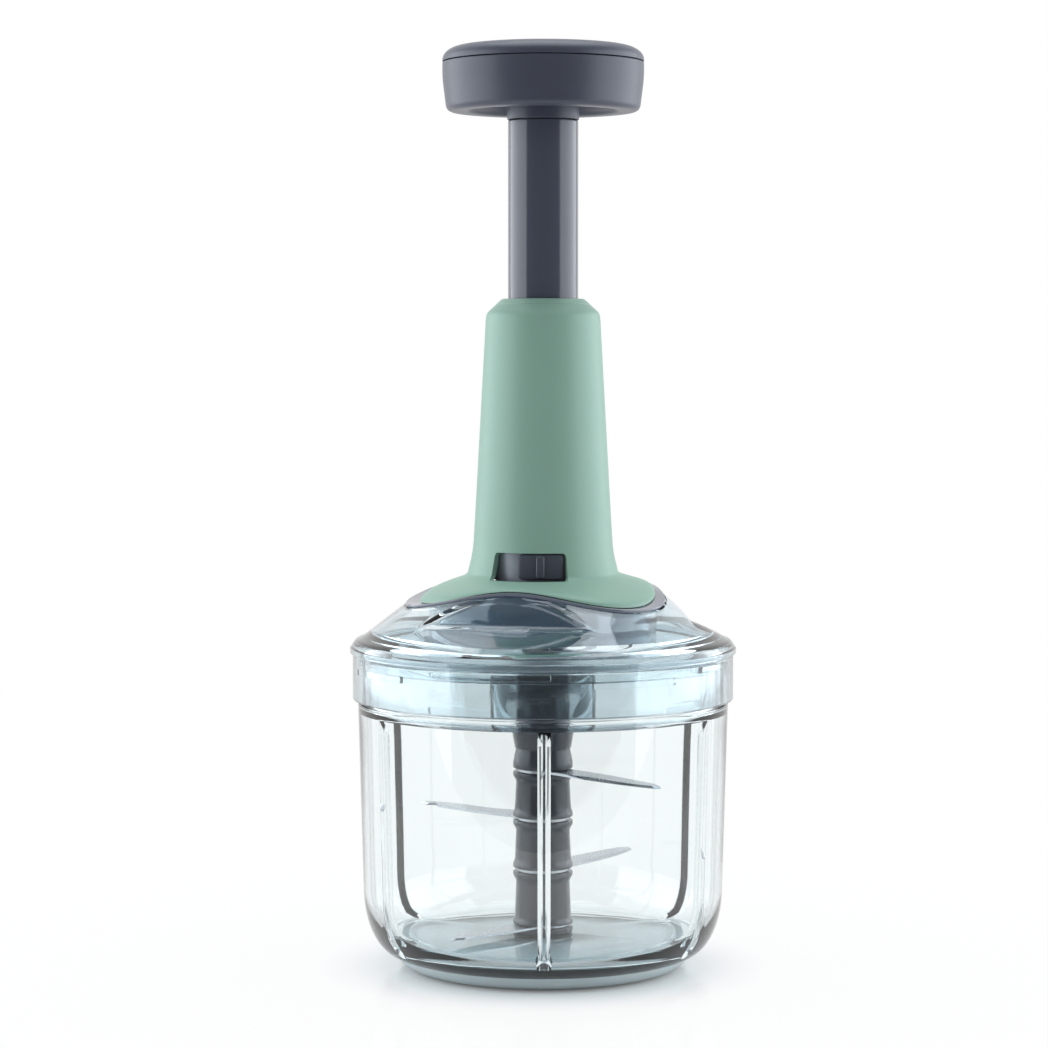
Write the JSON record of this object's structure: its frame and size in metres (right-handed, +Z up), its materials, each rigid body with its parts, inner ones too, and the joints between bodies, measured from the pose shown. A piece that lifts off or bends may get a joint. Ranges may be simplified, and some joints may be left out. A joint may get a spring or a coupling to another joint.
{
  "type": "manual food chopper",
  "caption": "Manual push chopper: a clear bowl on a soft foot, a clear lid with a handle, and a sprung plunger whose twisted strip spins the blades.",
  "frame": {"origin": "centre of the foot pad's underside, where the chopper stands", "axes": "+Z up along the plunger's axis; -Y towards the front, the side of the picture; +X to the right of the front"},
  "size_m": [0.128, 0.128, 0.3052],
  "materials": {
    "clear_bowl": "clear, polished",
    "tinted_lid": "clear with a blue tint, polished",
    "green_shell": "satin",
    "grey_plastic": "satin",
    "dark_plastic": "gloss",
    "steel": "ground and polished",
    "soft_pad": "soft, translucent grey",
    "seal_rubber": "soft, pale"
  },
  "bodies": {
    "bowl": {"bowl": "clear_bowl", "anti_slip_base": "soft_pad", "centre_pin": "steel"},
    "seal": {"lid_seal": "seal_rubber"},
    "lid": {"lid": "tinted_lid", "handle_base": "grey_plastic", "handle_shell": "green_shell", "handle_screw_1": "steel", "handle_screw_2": "steel", "handle_screw_3": "steel", "guide_bush": "grey_plastic", "stop_ring": "soft_pad", "thrust_washer": "grey_plastic"},
    "lock": {"lock_slider": "dark_plastic"},
    "plunger": {"plunger_tube": "dark_plastic", "drive_nut": "grey_plastic", "tube_plug": "grey_plastic", "knob_body": "grey_plastic", "knob_cap": "grey_plastic", "knob_screw": "steel", "return_spring": "steel"},
    "drive": {"drive_coupling": "dark_plastic", "retaining_washer": "steel", "clutch_hub": "dark_plastic", "spiral_shaft": "steel", "spring_seat": "grey_plastic"},
    "blades": {"blade_end_cap": "dark_plastic", "blade_core": "dark_plastic", "spacer_lower": "dark_plastic", "spacer_middle": "dark_plastic", "spacer_upper": "dark_plastic", "blade_bottom": "steel", "blade_third": "steel", "blade_second": "steel", "blade_top": "steel", "blade_cup": "dark_plastic"}
  },
  "joints": [
    {"name": "lid_lift", "type": "slide", "parent": "bowl", "child": "seal", "axis": [0, 0, 1], "range_m": [0, 0.12]},
    {"name": "lid_twist", "type": "hinge", "parent": "seal", "child": "lid", "pos_m": [0, 0, 0.1], "axis": [0, 0, 1], "range_deg": [-24, 0]},
    {"name": "plunger_push", "type": "slide", "parent": "lid", "child": "plunger", "axis": [0, 0, -1], "range_m": [0, 0.056], "stiffness_N_per_m": 120, "springref_m": -0.03, "deforming": ["return_spring"]},
    {"name": "drive_spin", "type": "hinge", "parent": "lid", "child": "drive", "pos_m": [0, 0, 0.1], "axis": [0, 0, 1], "range_deg": [-10, 520]},
    {"name": "blade_spin", "type": "hinge", "parent": "bowl", "child": "blades", "pos_m": [0, 0, 0.01], "axis": [0, 0, 1], "range_deg": [-10, 520]},
    {"name": "lock_turn", "type": "hinge", "parent": "lid", "child": "lock", "pos_m": [0, 0, 0.13], "axis": [0, 0, 1], "range_deg": [-19, 0]}
  ],
  "couplings": [
    {"joint": "drive_spin", "follows": "plunger_push", "rad_per_m": 157.08},
    {"joint": "blade_spin", "follows": "plunger_push", "rad_per_m": 157.08}
  ]
}
